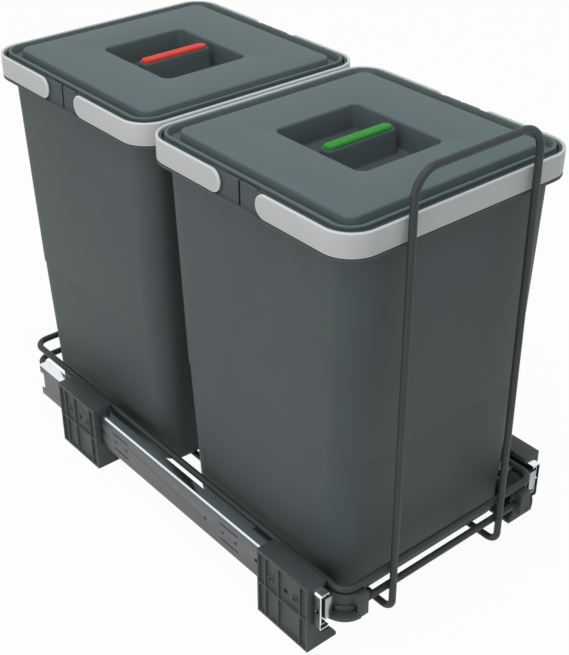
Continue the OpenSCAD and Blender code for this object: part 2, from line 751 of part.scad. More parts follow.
bracket_front_left();
bracket_front_right();
bracket_rear_left();
bracket_rear_right();
slide_outer_left();
slide_outer_right();
slide_screws();
slide_middle_left();
slide_middle_right();
outer_ball_cage_left();
outer_ball_cage_right();
outer_balls_left();
outer_balls_right();
inner_ball_cage_left();
inner_ball_cage_right();
inner_balls_left();
inner_balls_right();
slide_inner_left();
slide_inner_right();
upper_ring();
lower_ring();
pull_arch();
frame_hanger_left();
frame_hanger_right();
hanger_screws();
corner_guide_left();
corner_guide_right();
slide_end_tab_left();
slide_end_tab_right();
front_bin();
rear_bin();
front_lid();
rear_lid();
front_lid_insert();
rear_lid_insert();
front_bin_front_handle();
front_bin_rear_handle();
rear_bin_front_handle();
rear_bin_rear_handle();
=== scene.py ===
"""Dresses a pull-out waste bin unit: bins, lids, handles, a bent wire frame and steel slides.

Each operator makes one group of pieces round the fixed frame, in metres, with procedural
materials.
"""

import math

import bmesh
import bpy
from bpy.props import FloatProperty, FloatVectorProperty, IntProperty
from mathutils import Matrix, Vector


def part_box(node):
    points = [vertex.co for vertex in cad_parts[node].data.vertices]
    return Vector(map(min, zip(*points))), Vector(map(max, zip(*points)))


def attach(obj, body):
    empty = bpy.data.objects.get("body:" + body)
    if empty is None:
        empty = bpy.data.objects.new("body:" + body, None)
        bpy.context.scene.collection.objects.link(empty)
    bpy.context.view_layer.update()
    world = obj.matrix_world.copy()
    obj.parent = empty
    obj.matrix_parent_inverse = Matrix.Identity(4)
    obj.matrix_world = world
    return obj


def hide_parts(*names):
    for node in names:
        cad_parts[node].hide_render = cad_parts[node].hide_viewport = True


bl_info = {
    "name": "Pull-out waste bin unit",
    "version": (1, 0, 0),
    "blender": (4, 5, 0),
    "location": "3D View > Sidebar > Waste Unit",
    "description": "Builds the moulded, bent and pressed pieces of a pull-out waste bin unit",
    "category": "Add Mesh",
}

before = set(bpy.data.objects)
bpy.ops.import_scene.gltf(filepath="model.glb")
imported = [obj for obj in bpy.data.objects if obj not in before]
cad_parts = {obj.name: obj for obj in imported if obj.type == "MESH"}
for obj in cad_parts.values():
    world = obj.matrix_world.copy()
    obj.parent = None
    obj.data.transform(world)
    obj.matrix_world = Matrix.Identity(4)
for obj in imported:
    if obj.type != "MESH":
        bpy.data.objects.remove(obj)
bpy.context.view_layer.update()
MM = 0.001


def node_size(node, axis):
    """Length of a CAD node along one axis."""
    low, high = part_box(node)
    return high[axis] - low[axis]


def node_middle(node):
    """Middle of a CAD node."""
    low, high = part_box(node)
    return (Vector(low) + Vector(high)) / 2


def length(name, description, default):
    """A size property in scene units."""
    return FloatProperty(
        name=name, description=description, default=default, min=0.0, unit="LENGTH", precision=5
    )


def colour(name, description, default):
    """A linear colour property."""
    return FloatVectorProperty(
        name=name,
        description=description,
        default=default,
        size=3,
        subtype="COLOR",
        min=0.0,
        max=1.0,
    )


class BinSizes(bpy.types.PropertyGroup):
    """Sizes of one bin shell."""

    rim_w: length("Rim width", "Width of the rim wall", 297 * MM)
    rim_l: length("Rim length", "Length of the rim wall", 296 * MM)
    rim_r: length("Rim corner", "Corner radius of the rim wall", 29.7 * MM)
    flange_w: length("Flange width", "Width of the handles' ledge", node_size("front_bin", 0))
    flange_l: length("Flange length", "Length of the handles' ledge", node_size("front_bin", 1))
    flange_t: length("Flange thickness", "Thickness of the ledge", 3 * MM)
    rim_h: length("Rim height", "Height of the rim above the ledge, mid side", 25.1 * MM)
    side_rise: length("Side rise", "How much higher the rim is between the handle ends", 1.4 * MM)
    side_part: length("Side part", "Length of the higher part between the handle ends", 50 * MM)
    top_w: length("Body top width", "Body width just below the ledge", 280 * MM)
    crease_w: length("Crease width", "Body width just above the crease", 268.8 * MM)
    crease_h: length("Crease height", "Height of the crease above the underside", 186 * MM)
    crease_step: length("Crease step", "Depth of the crease", 0.8 * MM)
    base_w: length("Base width", "Body width above the bottom rounding", 255 * MM)
    base_round: length("Bottom rounding", "Radius of the bottom edge", 10 * MM)
    long_extra: length("Extra length", "How much longer than wide the body is", 2 * MM)
    corner_r: length("Body corner", "Corner radius of the body", 28 * MM)
    wall: length("Wall", "Wall thickness", 2.4 * MM)
    slit_w: length("Slit width", "Width of the slit in each side of the rim", 2.8 * MM)
    slit_d: length("Slit depth", "Depth of the slit into the rim wall", 2.1 * MM)
    ledge_in: length("Ledge edge", "How far the ledge stays inside its sharp outline", 1.1 * MM)


class LidSizes(bpy.types.PropertyGroup):
    """Sizes of one lid."""

    edge_w: length("Edge width", "Width over the lid edge", node_size("front_lid", 0))
    edge_l: length("Edge length", "Length over the lid edge", node_size("front_lid", 1))
    edge_r: length("Edge corner", "Corner radius of the lid edge", 25.5 * MM)
    edge_drop: length("Edge drop", "How far the bead along the edge lies below the panel", 1.0 * MM)
    bead_w: length("Bead width", "Width of the raised bead along the edge", 4.6 * MM)
    skirt_h: length("Skirt height", "Height of the skirt below the bead", 27 * MM)
    channel_drop: length("Channel depth", "Depth of the channel below the panel", 10.3 * MM)
    panel_w: length("Panel width", "Width of the raised panel", 256.4 * MM)
    panel_l: length("Panel length", "Length of the raised panel", 255.4 * MM)
    panel_r: length("Panel corner", "Corner radius of the raised panel", 12 * MM)
    recess_w: length("Recess width", "Width of the grip recess", 111 * MM)
    recess_l: length("Recess length", "Length of the grip recess", 128 * MM)
    recess_r: length("Recess corner", "Corner radius of the grip recess", 10 * MM)
    recess_draft: length("Recess draft", "How far each recess wall leans in", 3.5 * MM)
    recess_depth: length("Recess depth", "Depth of the grip recess", 28 * MM)
    bar_l: length("Grip bar length", "Length of the grip bar at its top", 92 * MM)
    bar_w: length("Grip bar width", "Width of the grip bar at its top", 17 * MM)
    bar_draft: length("Grip bar draft", "How far each side of the grip bar leans out", 3 * MM)
    insert_l: length("Insert length", "Length of the coloured insert", 87 * MM)
    insert_w: length("Insert width", "Width of the coloured insert", 13 * MM)
    sheet: length("Sheet", "Thickness of the lid", 2.4 * MM)
    groove_w: length("Groove width", "Width of the groove outside the bead", 0.8 * MM)
    groove_d: length("Groove depth", "Depth of the groove below the bead", 4.5 * MM)


class WireSizes(bpy.types.PropertyGroup):
    """Sizes of the wire frame."""

    wire_d: length("Wire", "Diameter of the wire", node_size("upper_ring", 2))
    ring_r: length("Ring bend", "Bend radius of the ring corners", 17 * MM)
    arch_r: length("Arch bend", "Bend radius of the arch top corners", 26 * MM)
    arch_lean: length("Arch lean", "How far the top of the arch leans back over the bins", 3 * MM)
    leg_r: length("Leg bend", "Bend radius where the arch turns under the bins", 14 * MM)
    sides: IntProperty(name="Sides", description="Faces round the wire", default=20, min=6, max=64)


class Roundings(bpy.types.PropertyGroup):
    """Edge roundings of the moulded and pressed pieces."""

    handle: length("Handle edge", "Rounding of the handle edges", 1.5 * MM)
    bracket: length("Bracket edge", "Rounding of the bracket edges", 0.5 * MM)
    guide: length("Guide edge", "Rounding of the corner guide edges", 0.6 * MM)
    slide: length("Slide edge", "Rounding of the folded slide edges", 0.35 * MM)


class Finishes(bpy.types.PropertyGroup):
    """Colours of the materials."""

    bin: colour("Bin plastic", "Dark grey plastic of the bins", (0.064, 0.079, 0.08))
    shade: colour("Slit shade", "Shaded walls of the slits in the bin rims", (0.03, 0.034, 0.034))
    lid: colour("Lid plastic", "Grey plastic of the lids", (0.088, 0.127, 0.131))
    # Recess: a darker colour with a coarser grain, painted shade in the grip recess and in the
    # groove outside the lid's bead
    recess: colour("Recess plastic", "Coarser plastic of the grip recess", (0.07, 0.089, 0.092))
    # Channel: a lighter, greyer copy of the lid plastic on the channel's floor and walls, painted
    # light that offsets the shade there
    channel: colour("Channel plastic", "Plastic of the lid's sunk channel", (0.13, 0.162, 0.157))
    bracket: colour("Bracket plastic", "Plastic of the brackets and guides", (0.056, 0.068, 0.069))
    # Bracket edge highlight: the bracket plastic made lighter on the rounded edges, a painted
    # highlight
    bracket_edge: colour("Bracket edge", "Rounded edges of the brackets", (0.1, 0.118, 0.12))
    handle: colour("Handle plastic", "Pale grey plastic of the handles", (0.505, 0.507, 0.51))
    # Handle edge highlight: the handle plastic made lighter on the rounded edges, a painted
    # highlight, with a lower roughness
    handle_edge: colour("Handle edge", "Polished rounded edges of the handles", (0.62, 0.66, 0.65))
    wire: colour("Wire paint", "Dark powder paint of the wire frame", (0.036, 0.044, 0.046))
    steel: colour("Bright steel", "Bright zinc on the folded edges of the slides", (0.8, 0.87, 0.9))
    # Web shade: the slide steel darkened on the flat web and inner faces, painted shade; the screws
    # and balls take it too
    web: colour("Rolled steel", "Dull rolled face of the slides", (0.142, 0.144, 0.147))
    mark: colour("Pressed marks", "Shaded bottoms of pressed marks and holes", (0.03, 0.031, 0.033))
    # End tab: a darkened copy of the slide steel, painted shade that dims its reflection
    tab: colour("End tab", "Brushed steel of the slide end tabs", (0.42, 0.42, 0.425))
    cage: colour("Cage", "Ball cage plastic", (0.3, 0.3, 0.28))
    green: colour("Green insert", "Insert of the front lid", (0.02, 0.26, 0.025))
    red: colour("Red insert", "Insert of the rear lid", (0.7, 0.047, 0.028))


class StageSettings(bpy.types.PropertyGroup):
    """Camera and light."""

    azimuth: FloatProperty(
        name="Azimuth",
        description="Camera direction round the unit",
        default=math.radians(-39.86),
        unit="ROTATION",
    )
    elevation: FloatProperty(
        name="Elevation",
        description="Camera height angle",
        default=math.radians(32.18),
        unit="ROTATION",
    )
    roll: FloatProperty(
        name="Roll", description="Camera roll", default=math.radians(-0.10), unit="ROTATION"
    )
    distance: length("Distance", "Camera distance from its target", 1364.5 * MM)
    target: FloatVectorProperty(
        name="Target",
        description="Point the camera looks at",
        default=(-0.0363, -0.07785, 0.245),
        size=3,
        unit="LENGTH",
    )
    lens: FloatProperty(
        name="Lens",
        description="Focal length in millimetres",
        default=67.87,
        min=1.0,
        subtype="DISTANCE_CAMERA",
    )
    world_level: FloatProperty(
        name="World level", description="Strength of the surrounding light", default=0.54, min=0.0
    )
    key_power: FloatProperty(
        name="Key power",
        description="Power of the large soft lamp above",
        default=19.0,
        min=0.0,
        unit="POWER",
    )
    side_power: FloatProperty(
        name="Side power",
        description="Power of the soft lamp on the left",
        default=12.0,
        min=0.0,
        unit="POWER",
    )


GROUPS = {
    "waste_bin": BinSizes,
    "waste_lid": LidSizes,
    "waste_wire": WireSizes,
    "waste_round": Roundings,
    "waste_finish": Finishes,
    "waste_stage": StageSettings,
}


# Angles between faces, in degrees: sharp shading starts above the first three,
# and an edge of a CAD shape is rounded above the last
SMOOTH_LIMIT = 35.0
EASED_SMOOTH_LIMIT = 40.0
WIRE_SMOOTH_LIMIT = 60.0
SHARP_LIMIT = 28.0

# Lamps: name, place, aim and size, in metres
KEY_LAMP = ("key_lamp", (-0.5, -0.4, 2.4), (0, 0, 0.3), 1.6)
SIDE_LAMP = ("side_lamp", (-2.2, -0.3, 0.9), (0, 0, 0.25), 1.4)

# Half the side of the floor, in metres, and how white it is to the camera
FLOOR_REACH = 6.0
FLOOR_WHITE = 0.955

# Small roundings, as pairs of a step across and a step up or down, all in millimetres
CREASE_BELOW = ((-0.2, -2.5), (0.0, 0.0))
CREASE_ABOVE = ((-0.5, 0.5), (0.0, 1.2))
BODY_TOP = ((-0.4, 6.0), (0.0, 1.2), (1.4, 0.0))
LEDGE_EDGE = ((0.7, 0.0), (0.1, 0.4), (0.0, 1.0))
RIM_FOOT = ((0.8, 0.0), (0.2, 0.3), (0.0, 0.9))
RIM_TOP = ((0.0, 0.8), (-0.25, 0.2), (-0.8, 0.0))
SIDE_PART_TOP = ((0.0, 0.6), (0.2, 0.15), (0.6, 0.0))
CHANNEL_FOOT = ((0.6, 1.0), (1.6, 0.0))
BEAD_FOOT = ((1.3, 0.0), (0.3, 0.8))
BEAD_INNER_TOP = ((0.0, 1.4), (-0.5, 0.4), (-1.4, 0.0))
BEAD_OUTER_TOP = ((1.1, 0.0), (0.3, 0.4), (0.0, 1.2))
BAR_FOOT = ((3.0, -1.0), (3.0, 0.0), (1.2, 0.5), (0.0, 3.0))
BAR_TOP = ((0.3, 2.0), (-0.1, 0.7), (-0.8, 0.0), (-1.6, 0.0))

# Rounding of the edge of a lid's raised panel
PANEL_ROUND = 2.6 * MM

# The coloured capsule: a step in, in millimetres, and a share of its height
CAPSULE = (
    (0.0, 0.0),
    (0.0, 0.45),
    (0.25, 0.7),
    (0.8, 0.88),
    (1.8, 0.97),
    (3.4, 1.0),
    (5.2, 1.0),
)


# Materials


class NodeSheet:
    """Adds and links shader nodes of one material."""

    def __init__(self, name):
        self.material = bpy.data.materials.new(name)
        self.material.use_nodes = True
        self.tree = self.material.node_tree
        self.shader = self.tree.nodes["Principled BSDF"]
        self.coords = self.add("ShaderNodeTexCoord")

    def add(self, kind, **values):
        """A node with some of its settings and inputs filled in."""
        made = self.tree.nodes.new(kind)
        for key, value in values.items():
            if hasattr(made, key):
                setattr(made, key, value)
            else:
                made.inputs[key.replace("_", " ").title()].default_value = value
        return made

    def link(self, source, target):
        """Links an output to an input."""
        self.tree.links.new(source, target)

    def noise(self, scale, detail=2.0, stretch=None):
        """Noise over the object's own coordinates, stretched if asked."""
        made = self.add("ShaderNodeTexNoise", scale=scale, detail=detail)
        if stretch:
            mapping = self.add("ShaderNodeMapping", scale=stretch)
            self.link(self.coords.outputs["Object"], mapping.inputs["Vector"])
            self.link(mapping.outputs["Vector"], made.inputs["Vector"])
        else:
            self.link(self.coords.outputs["Object"], made.inputs["Vector"])
        return made.outputs["Fac"]

    def rough(self, source, low, high):
        """Roughness that follows a 0 to 1 value from low to high."""
        made = self.add("ShaderNodeMapRange", to_min=low, to_max=high)
        self.link(source, made.inputs["Value"])
        self.link(made.outputs["Result"], self.shader.inputs["Roughness"])

    def tint(self, source, rgb, amount):
        """A colour that varies a little round rgb."""
        ramp = self.add("ShaderNodeValToRGB")
        shares = ((0.3, 1 - amount), (0.7, 1 + amount))
        for stop, (position, share) in zip(ramp.color_ramp.elements, shares):
            stop.color = (*[min(1.0, c * share) for c in rgb], 1.0)
            stop.position = position
        self.link(source, ramp.inputs["Fac"])
        self.link(ramp.outputs["Color"], self.shader.inputs["Base Color"])

    def bump(self, source, distance, strength, normal=None):
        """A bump layer on the shader's normal."""
        made = self.add("ShaderNodeBump", distance=distance, strength=strength)
        self.link(source, made.inputs["Height"])
        if normal:
            self.link(normal, made.inputs["Normal"])
        self.link(made.outputs["Normal"], self.shader.inputs["Normal"])
        return made.outputs["Normal"]


def moulded(name, rgb, rough, grain, depth, mottle=0.03):
    """Moulded plastic: an etched grain, slow waviness of the wall and a slight mottle."""
    sheet = NodeSheet(name)
    sheet.tint(sheet.noise(scale=14.0, detail=4.0), rgb, mottle)
    gloss = sheet.noise(scale=grain * 0.4, detail=3.0)
    sheet.rough(gloss, rough - 0.05, rough + 0.07)
    sheet.shader.inputs["Specular IOR Level"].default_value = 0.25
    waves = sheet.bump(sheet.noise(scale=9.0, detail=1.0), distance=0.5 * MM, strength=0.12)
    sheet.bump(sheet.noise(scale=grain), distance=depth * MM, strength=0.5, normal=waves)
    return sheet.material


def painted(name, rgb):
    """Powder paint on wire: orange peel and a soft gloss."""
    sheet = NodeSheet(name)
    sheet.tint(sheet.noise(scale=40.0, detail=3.0), rgb, 0.05)
    sheet.rough(sheet.noise(scale=300.0), 0.4, 0.52)
    sheet.bump(sheet.noise(scale=700.0), distance=0.05 * MM, strength=0.5)
    sheet.shader.inputs["Specular IOR Level"].default_value = 0.3
    return sheet.material


def plated(name, rgb, rough, stretch=(60.0, 1.0, 60.0)):
    """Zinc plated steel strip: rolling lines along its length and a cloudy sheen."""
    sheet = NodeSheet(name)
    sheet.shader.inputs["Metallic"].default_value = 1.0
    sheet.tint(sheet.noise(scale=6.0, detail=4.0, stretch=stretch), rgb, 0.04)
    sheet.rough(sheet.noise(scale=30.0, detail=4.0), rough - 0.06, rough + 0.08)
    lines = sheet.noise(scale=25.0, detail=3.0, stretch=stretch)
    sheet.bump(lines, distance=0.03 * MM, strength=0.35)
    return sheet.material


def coloured(name, rgb):
    """Smooth coloured plastic with a satin polish."""
    sheet = NodeSheet(name)
    sheet.tint(sheet.noise(scale=60.0), rgb, 0.02)
    sheet.rough(sheet.noise(scale=200.0), 0.3, 0.4)
    sheet.bump(sheet.noise(scale=900.0, detail=1.0), distance=0.02 * MM, strength=0.4)
    sheet.shader.inputs["IOR"].default_value = 1.2
    return sheet.material


# What makes each finish: its maker, the name of its colour and the maker's own values
FINISH_MAKERS = {
    "bin": (moulded, "bin", {"rough": 0.55, "grain": 1500.0, "depth": 0.06}),
    "shade": (moulded, "shade", {"rough": 0.7, "grain": 1500.0, "depth": 0.05}),
    "lid": (moulded, "lid", {"rough": 0.5, "grain": 1700.0, "depth": 0.05, "mottle": 0.02}),
    # Painted shade in the grip recess and the groove round the lid
    "recess": (moulded, "recess", {"rough": 0.65, "grain": 900.0, "depth": 0.08}),
    # Painted light in the lid's channel
    "channel": (moulded, "channel", {"rough": 0.65, "grain": 900.0, "depth": 0.08}),
    "bracket": (
        moulded,
        "bracket",
        {"rough": 0.5, "grain": 1500.0, "depth": 0.05, "mottle": 0.05},
    ),
    # Painted highlight on the rounded bracket and guide edges
    "bracket_edge": (
        moulded,
        "bracket_edge",
        {"rough": 0.4, "grain": 1500.0, "depth": 0.03, "mottle": 0.04},
    ),
    "handle": (
        moulded,
        "handle",
        {"rough": 0.42, "grain": 1700.0, "depth": 0.03, "mottle": 0.02},
    ),
    # Painted highlight on the rounded handle edges
    "handle_edge": (
        moulded,
        "handle_edge",
        {"rough": 0.32, "grain": 1700.0, "depth": 0.02, "mottle": 0.02},
    ),
    "wire": (painted, "wire", {}),
    "steel": (plated, "steel", {"rough": 0.14}),
    # Painted shade: the darkened slide steel
    "web": (plated, "web", {"rough": 0.42}),
    # Painted shade: the darkened steel of the end tabs
    "tab": (plated, "tab", {"rough": 0.3}),
    "mark": (plated, "mark", {"rough": 0.5}),
    # The screws and balls take the same darkened steel
    "screw": (plated, "web", {"rough": 0.25, "stretch": (20.0, 20.0, 20.0)}),
    "cage": (coloured, "cage", {}),
    "green": (coloured, "green", {}),
    "red": (coloured, "red", {}),
}


def finish_of(name):
    """The finish of that name, made once. Its name differs from the frame's own materials."""
    label = name + "_finish"
    maker, tint, values = FINISH_MAKERS[name]
    rgb = getattr(bpy.context.scene.waste_finish, tint)
    return bpy.data.materials.get(label) or maker(label, rgb, **values)


# Meshes


def rounded_loop(width, depth, radius, z, arcs=8):
    """Points of a rectangle with round corners, at height z."""
    least = 0.01 * MM
    radius = max(least, min(radius, width / 2 - least, depth / 2 - least))
    points = []
    for turn, (sx, sy) in enumerate(((1, 1), (-1, 1), (-1, -1), (1, -1))):
        centre = Vector((sx * (width / 2 - radius), sy * (depth / 2 - radius), z))
        for step in range(arcs + 1):
            angle = math.pi / 2 * (turn + step / arcs)
            points.append(centre + Vector((math.cos(angle), math.sin(angle), 0)) * radius)
    return points


def skin(bm, loops, closed=False):
    """Joins loops of equal length into a closed surface: a ring if closed, or with two caps."""
    rows = [[bm.verts.new(p) for p in loop] for loop in loops]
    pairs = list(zip(rows, rows[1:])) + ([(rows[-1], rows[0])] if closed else [])
    for low, high in pairs:
        for i in range(len(low)):
            j = (i + 1) % len(low)
            bm.faces.new((low[i], low[j], high[j], high[i]))
    if not closed:
        bm.faces.new(list(reversed(rows[0])))
        bm.faces.new(rows[-1])


def finish_mesh(name, bm, material, angle=SMOOTH_LIMIT):
    """Turns a bmesh into a shaded object, with edges sharper than the angle left sharp."""
    bmesh.ops.recalc_face_normals(bm, faces=bm.faces)
    mesh = bpy.data.meshes.new(name)
    bm.to_mesh(mesh)
    bm.free()
    mesh.shade_smooth()
    mesh.set_sharp_from_angle(angle=math.radians(angle))
    mesh.materials.append(finish_of(material))
    made = bpy.data.objects.new(name, mesh)
    bpy.context.scene.collection.objects.link(made)
    return made


def stand_for(piece, body, slot, *nodes):
    """Rides a new piece on its body in place of CAD nodes."""
    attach(piece, body)
    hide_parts(*nodes)


def carve(piece, cutters, operation="DIFFERENCE"):
    """Cuts closed meshes out of a piece, or joins them to it, and applies the result."""
    for cutter in cutters:
        step = piece.modifiers.new("cut", "BOOLEAN")
        step.object = cutter
        step.operation = operation
        step.solver = "EXACT"
    graph = bpy.context.evaluated_depsgraph_get()
    graph.update()
    result = bpy.data.meshes.new_from_object(piece.evaluated_get(graph))
    piece.modifiers.clear()
    piece.data = result
    result.shade_smooth()
    result.set_sharp_from_angle(angle=math.radians(SMOOTH_LIMIT))
    for cutter in cutters:
        bpy.data.objects.remove(cutter)


def block(name, low, high):
    """A closed block for cutting, whose faces take the second finish of what it cuts."""
    bm = bmesh.new()
    bmesh.ops.create_cube(bm, size=1.0)
    size = Vector(high) - Vector(low)
    middle = (Vector(high) + Vector(low)) / 2
    for v in bm.verts:
        v.co = Vector((v.co.x * size.x, v.co.y * size.y, v.co.z * size.z)) + middle
    for face in bm.faces:
        face.material_index = 1
    mesh = bpy.data.meshes.new(name)
    bm.to_mesh(mesh)
    bm.free()
    made = bpy.data.objects.new(name, mesh)
    bpy.context.scene.collection.objects.link(made)
    return made


def eased(name, node, width, material, segments=2, edge_finish=None, keep=None):
    """A CAD node's shape with rounded edges, apart from edges with both ends passing keep; a given
    edge highlight colours the rounded edges lighter, a painted highlight.
    """
    bm = bmesh.new()
    bm.from_mesh(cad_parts[node].data)
    same_place = 0.005 * MM
    same_plane = math.radians(0.5)
    bmesh.ops.remove_doubles(bm, verts=bm.verts, dist=same_place)
    bmesh.ops.dissolve_limit(bm, angle_limit=same_plane, verts=bm.verts, edges=bm.edges)
    limit = math.radians(SHARP_LIMIT)
    sharp = [e for e in bm.edges if len(e.link_faces) == 2 and e.calc_face_angle(0.0) > limit]
    if keep:
        sharp = [e for e in sharp if not (keep(e.verts[0].co) and keep(e.verts[1].co))]
    bmesh.ops.bevel(
        bm,
        geom=sharp,
        offset=width,
        segments=segments,
        profile=0.5,
        affect="EDGES",
        clamp_overlap=keep is None,
        material=1 if edge_finish else -1,
    )
    piece = finish_mesh(name, bm, material, EASED_SMOOTH_LIMIT)
    if edge_finish:
        piece.data.materials.append(finish_of(edge_finish))
    return piece


def bent_path(corners, radii, steps, closed=False):
    """Points along straight runs joined by round bends at the given corners."""
    count = len(corners)
    points = []
    for i, corner in enumerate(corners):
        corner = Vector(corner)
        if not closed and i in (0, count - 1):
            points.append(corner)
            continue
        before = (Vector(corners[(i - 1) % count]) - corner).normalized()
        after = (Vector(corners[(i + 1) % count]) - corner).normalized()
        half = before.angle(after) / 2
        radius = radii[i]
        reach = radius / math.tan(half)
        centre = corner + (before + after).normalized() * radius / math.sin(half)
        first = corner + before * reach - centre
        last = corner + after * reach - centre
        turn = first.angle(last)
        for step in range(steps + 1):
            share = step / steps
            swing = first * math.sin((1 - share) * turn) + last * math.sin(share * turn)
            points.append(centre + swing / math.sin(turn))
    return points


def drawn_wire(bm, points, radius, sides, closed=False):
    """A round wire along points."""
    count = len(points)
    angles = [2 * math.pi * k / sides for k in range(sides)]
    rows = []
    normal = None
    for i, point in enumerate(points):
        ahead = points[(i + 1) % count] if closed or i < count - 1 else point
        behind = points[i - 1] if closed or i > 0 else point
        along = (ahead - behind).normalized()
        if normal is None:
            normal = along.orthogonal().normalized()
        normal = (normal - along * normal.dot(along)).normalized()
        side = along.cross(normal)
        rows.append(
            [point + (normal * math.cos(a) + side * math.sin(a)) * radius for a in angles]
        )
    skin(bm, rows, closed=closed)


def weld_bead(bm, middle):
    """A small fused blob where two wires cross, longest across the unit."""
    half_length, half_thickness = 4.4 * MM, 2.4 * MM
    half = Vector((half_length, half_thickness, half_thickness))
    made = bmesh.ops.create_uvsphere(bm, u_segments=16, v_segments=10, radius=1.0)
    for v in made["verts"]:
        v.co = Vector((v.co.x * half.x, v.co.y * half.y, v.co.z * half.z)) + middle


# Pieces


def bin_shell(name, y, sizes):
    """One bin: a loft through its outside, over the rim and down the inside."""
    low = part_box(name)[0][2]
    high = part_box(name)[1][2]
    ledge = high - sizes.rim_h
    under = ledge - sizes.flange_t
    wall_top = high - sizes.side_rise
    crease = low + sizes.crease_h
    below = sizes.crease_w - sizes.crease_step * 2
    rounding = sizes.base_round
    wall = sizes.wall
    inner_r = sizes.corner_r - wall
    inner_round = rounding * 0.8
    base_corner = sizes.corner_r - 2 * MM
    steps = 6
    turns = [math.pi / 2 * i / steps for i in range(steps + 1)]
    loops = []

    def body(width, z, corner=sizes.corner_r):
        loops.append(rounded_loop(width, width + sizes.long_extra, corner, z))

    def ledge_loop(inset, z):
        width = sizes.flange_w - sizes.ledge_in * 2
        depth = sizes.flange_l - sizes.ledge_in * 2
        corner = sizes.rim_r + (width - sizes.rim_w) / 2
        loops.append(rounded_loop(width - inset * 2, depth - inset * 2, corner - inset, z))

    def rim(grow, z):
        width, depth = sizes.rim_w + grow * 2, sizes.rim_l + grow * 2
        loops.append(rounded_loop(width, depth, sizes.rim_r + grow, z))

    dish_in = 8 * MM
    dish_rise = 0.6 * MM
    dish_corner = sizes.corner_r - 12 * MM
    body(sizes.base_w - rounding * 2 - dish_in, low + dish_rise, dish_corner)
    outer_tighter, inner_tighter = 0.5, 0.4
    for angle in turns:
        inset = rounding * (1 - math.sin(angle))
        height = low + rounding * (1 - math.cos(angle))
        body(sizes.base_w - inset * 2, height, base_corner - inset * outer_tighter)
    for width, profile in ((below, CREASE_BELOW), (sizes.crease_w, CREASE_ABOVE)):
        for wider, rise in profile:
            body(width + wider * MM, crease + rise * MM)
    for wider, drop in BODY_TOP:
        body(sizes.top_w + wider * MM, under - drop * MM)
    for inset, rise in LEDGE_EDGE:
        ledge_loop(inset * MM, under + rise * MM)
    for inset, drop in reversed(LEDGE_EDGE[:-1]):
        ledge_loop(inset * MM, ledge - drop * MM)
    for grow, rise in RIM_FOOT:
        rim(grow * MM, ledge + rise * MM)
    for grow, drop in RIM_TOP:
        rim(grow * MM, wall_top - drop * MM)
    soft = 0.6 * MM
    step = 1 * MM
    rim(soft - wall, wall_top)
    rim(-wall, wall_top - soft)
    rim(-wall, ledge + step)
    body(sizes.top_w - wall * 2 + step, ledge, inner_r)
    body(sizes.top_w - wall * 2, ledge - step, inner_r)
    body(sizes.crease_w - wall * 2, crease, inner_r)
    body(below - wall * 2, crease - step / 2, inner_r)
    for angle in reversed(turns):
        inset = wall + inner_round * (1 - math.sin(angle))
        height = low + wall + inner_round * (1 - math.cos(angle))
        body(sizes.base_w - inset * 2, height, base_corner - wall - inset * inner_tighter)
    bm = bmesh.new()
    skin(bm, loops)
    piece = finish_mesh(name + "_shell", bm, "bin")
    piece.data.materials.append(finish_of("shade"))
    overlap = 0.02 * MM
    root = 6 * MM
    past_wall = 1.5 * MM
    past_top = 1 * MM
    half_slit = sizes.slit_w / 2
    parts, cutters = [], []
    for side in (-1, 1):
        edge = side * sizes.rim_w / 2
        middle = edge - side * wall / 2
        parts.append(side_part(middle, sizes.side_part, wall + overlap * 2, wall_top - root, high))
        x0, x1 = sorted((edge - side * sizes.slit_d, edge + side * past_wall))
        low_corner = (x0, -half_slit, ledge + overlap)
        cutters.append(block("slit", low_corner, (x1, half_slit, high + past_top)))
    carve(piece, parts, "UNION")
    carve(piece, cutters)
    piece.location.y = y
    return piece


def side_part(x, depth, width, low, high):
    """The higher part of the rim wall between the handle ends, with a softened top."""
    corner, arcs = 0.5 * MM, 3
    bm = bmesh.new()
    loops = [rounded_loop(width, depth, corner, low, arcs)]
    for inset, drop in SIDE_PART_TOP:
        smaller = inset * 2 * MM
        loops.append(rounded_loop(width - smaller, depth - smaller, corner, high - drop * MM, arcs))
    skin(bm, [[point + Vector((x, 0, 0)) for point in loop] for loop in loops])
    return finish_mesh("side_part", bm, "bin")


